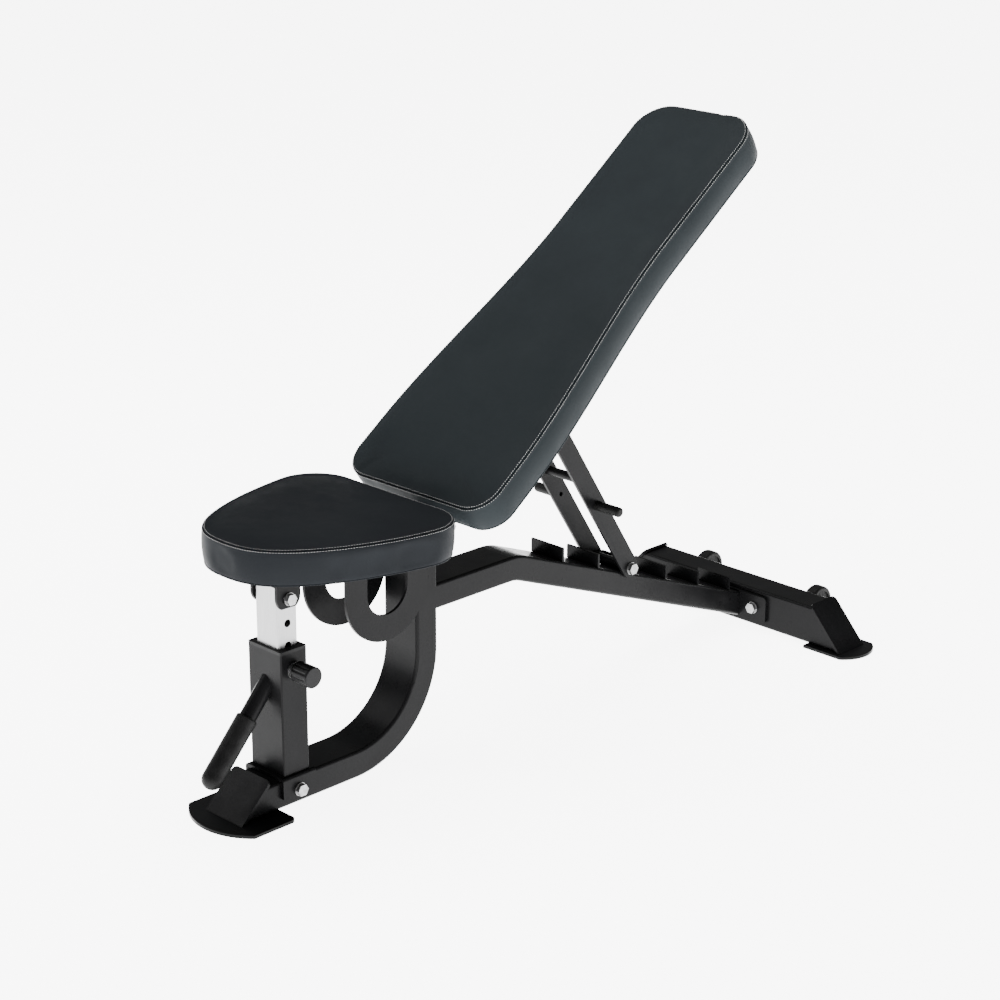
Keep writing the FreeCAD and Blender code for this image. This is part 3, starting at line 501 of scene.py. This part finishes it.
def stitch_row(rings, seam, direction, verts, faces):
    """One row of stitches, STITCH_OFFSET from the seam on the side direction (+1 top, -1 side)."""
    n = len(rings[0])
    line, normals = [], []
    for j in range(n):
        walked, r = 0.0, seam
        while walked < STITCH_OFFSET:
            step = (rings[r + direction][j] - rings[r][j]).length
            if walked + step >= STITCH_OFFSET:
                break
            walked += step
            r += direction
        a, b = rings[r][j], rings[r + direction][j]
        point = a + (b - a) * ((STITCH_OFFSET - walked) / (b - a).length)
        along_ring = rings[r][(j + 1) % n] - rings[r][j - 1]
        normal = along_ring.cross((b - a) * direction).normalized()
        line.append(point)
        normals.append(normal)
    lengths = [0.0]
    for j in range(n):
        lengths.append(lengths[-1] + (line[(j + 1) % n] - line[j]).length)
    count = round(lengths[-1] / STITCH_PITCH)

    def at(want):
        want %= lengths[-1]
        lo, hi = 0, n
        while hi - lo > 1:
            mid = (lo + hi) // 2
            if lengths[mid] <= want:
                lo = mid
            else:
                hi = mid
        f = (want - lengths[lo]) / (lengths[lo + 1] - lengths[lo])
        k = (lo + 1) % n
        return line[lo].lerp(line[k], f), normals[lo].lerp(normals[k], f).normalized()

    pitch = lengths[-1] / count
    for k in range(count):
        p, normal = at(pitch * (k + 0.20))
        q, _ = at(pitch * (k + 0.75))
        capsule(p + normal * 0.15, q + normal * 0.15, STITCH_RADIUS, normal, verts, faces)


def piping(name, line, radius):
    """Rolled hem along the lower edge of a pad, as one closed tube."""
    n = len(line)
    around = 8
    verts, faces = [], []
    for j in range(n):
        along_line = (line[(j + 1) % n] - line[j - 1]).normalized()
        reference = (line[j] - line[(j + n // 2) % n]).normalized()
        side = (reference - along_line * reference.dot(along_line)).normalized()
        up = along_line.cross(side)
        for k in range(around):
            a = 2.0 * math.pi * k / around
            verts.append(line[j] + (side * math.cos(a) + up * math.sin(a)) * radius)
    for j in range(n):
        m = (j + 1) % n
        for k in range(around):
            q = (k + 1) % around
            faces.append((j * around + k, j * around + q, m * around + q, m * around + k))
    return mesh_object(name, verts, faces)


def mesh_object(name, verts, faces):
    mesh = bpy.data.meshes.new(name)
    mesh.from_pydata([v * MM for v in verts], [], faces)
    mesh.validate()
    obj = bpy.data.objects.new(name, mesh)
    bpy.context.scene.collection.objects.link(obj)
    return obj


def shade_smooth(obj):
    for face in obj.data.polygons:
        face.use_smooth = True


def make_pad(name, side, middle, place, cover, body, node):
    loop = loop_of(resample(side, OUTLINE_STEP))
    normals = outward(loop)
    rings = ring_points(loop, normals, middle, place)
    cage = skin(name + "_cage", rings)
    rings = inflate(cage, rings)
    bpy.data.objects.remove(cage)
    fine, seam = refine(rings)
    pad = skin(name, fine)
    pad.data.materials.append(cover)
    shade_smooth(pad)
    subdivide = pad.modifiers.new("smooth", "SUBSURF")
    subdivide.levels = subdivide.render_levels = 1
    verts, faces = [], []
    for direction in (1, -1):
        stitch_row(fine, seam, direction, verts, faces)
    stitches = mesh_object(name + "_stitching", verts, faces)
    stitches.data.materials.append(THREAD)
    shade_smooth(stitches)
    hem = piping(name + "_hem", fine[len(UNDER) + 3], 1.3)
    hem.data.materials.append(cover)
    shade_smooth(hem)
    for piece in (pad, stitches, hem):
        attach(piece, body)
    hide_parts(node)
    return pad


def back_place(x, s, h):
    d = Vector((0.0, math.cos(INCLINE), math.sin(INCLINE)))
    n = Vector((0.0, -math.sin(INCLINE), math.cos(INCLINE)))
    return BACK_ORIGIN + Vector((x, 0.0, 0.0)) + d * s + n * (h - PAD_T)


def seat_place(x, back_from_rear, h):
    p = Vector((x, SEAT_REAR_Y - back_from_rear, SEAT_Z + h)) - SEAT_PIVOT
    return SEAT_PIVOT + Matrix.Rotation(-SEAT_PITCH, 3, "X") @ p


def back_middle(x, s):
    return 0.0, min(max(s, BACK_S0 + 130.0), BACK_S1 - 95.0)


def seat_middle(x, y):
    return 0.0, min(max(y, 140.0), SEAT_LENGTH - 110.0)


make_pad("backrest_cushion", back_side(), back_middle, back_place, BACK_COVER_PAINTED_SHEEN, "backrest",
         "backrest_pad")
make_pad("seat_cushion", seat_side(), seat_middle, seat_place, SEAT_COVER_PAINTED_SHADE, "seat", "seat_pad")


# ---- studio -----------------------------------------------------------------------------------------
def floor():
    mesh = bpy.data.meshes.new("floor")
    r = GROUND_HALF
    mesh.from_pydata([(-r, -r, 0), (r, -r, 0), (r, r, 0), (-r, r, 0)], [], [(0, 1, 2, 3)])
    obj = bpy.data.objects.new("floor", mesh)
    mesh.materials.append(floor_material())
    bpy.context.scene.collection.objects.link(obj)


def area_light(name, position, target, size, power):
    data = bpy.data.lights.new(name, "AREA")
    data.shape = "RECTANGLE"
    data.size, data.size_y = size
    data.energy = power
    obj = bpy.data.objects.new(name, data)
    obj.location = position
    away = Vector(position) - Vector(target)
    obj.rotation_euler = away.to_track_quat("Z", "Y").to_euler()
    bpy.context.scene.collection.objects.link(obj)


def camera():
    data = bpy.data.cameras.new("camera")
    data.lens = CAMERA_LENS
    data.sensor_width = 36.0
    data.clip_end = 200.0
    obj = bpy.data.objects.new("camera", data)
    a, e, roll = (math.radians(v) for v in (CAMERA_AZIMUTH, CAMERA_ELEVATION, CAMERA_ROLL))
    back = Vector((math.sin(a) * math.cos(e), -math.cos(a) * math.cos(e), math.sin(e)))
    right = Vector((math.cos(a), math.sin(a), 0.0))
    up = back.cross(right)
    turned = right * math.cos(roll) + up * math.sin(roll)
    upright = back.cross(turned)
    matrix = Matrix((turned, upright, back)).transposed().to_4x4()
    matrix.translation = Vector(CAMERA_AT)
    obj.matrix_world = matrix
    bpy.context.scene.collection.objects.link(obj)
    bpy.context.scene.camera = obj


def world():
    data = bpy.data.worlds.new("studio")
    data.use_nodes = True
    background = data.node_tree.nodes["Background"]
    background.inputs["Color"].default_value = (1.0, 1.0, 1.0, 1.0)
    background.inputs["Strength"].default_value = WORLD_GLOW
    bpy.context.scene.world = data


floor()
world()
area_light("key", (3.2, -1.2, 2.6), (0.0, 0.0, 0.3), (2.6, 2.6), 12.0)
area_light("left", (-2.8, -1.8, 2.8), (0.0, -0.5, 0.2), (2.0, 2.0), 60.0)
area_light("top", (-0.6, 0.4, 4.2), (0.0, 0.0, 0.3), (3.0, 3.0), 230.0)
camera()
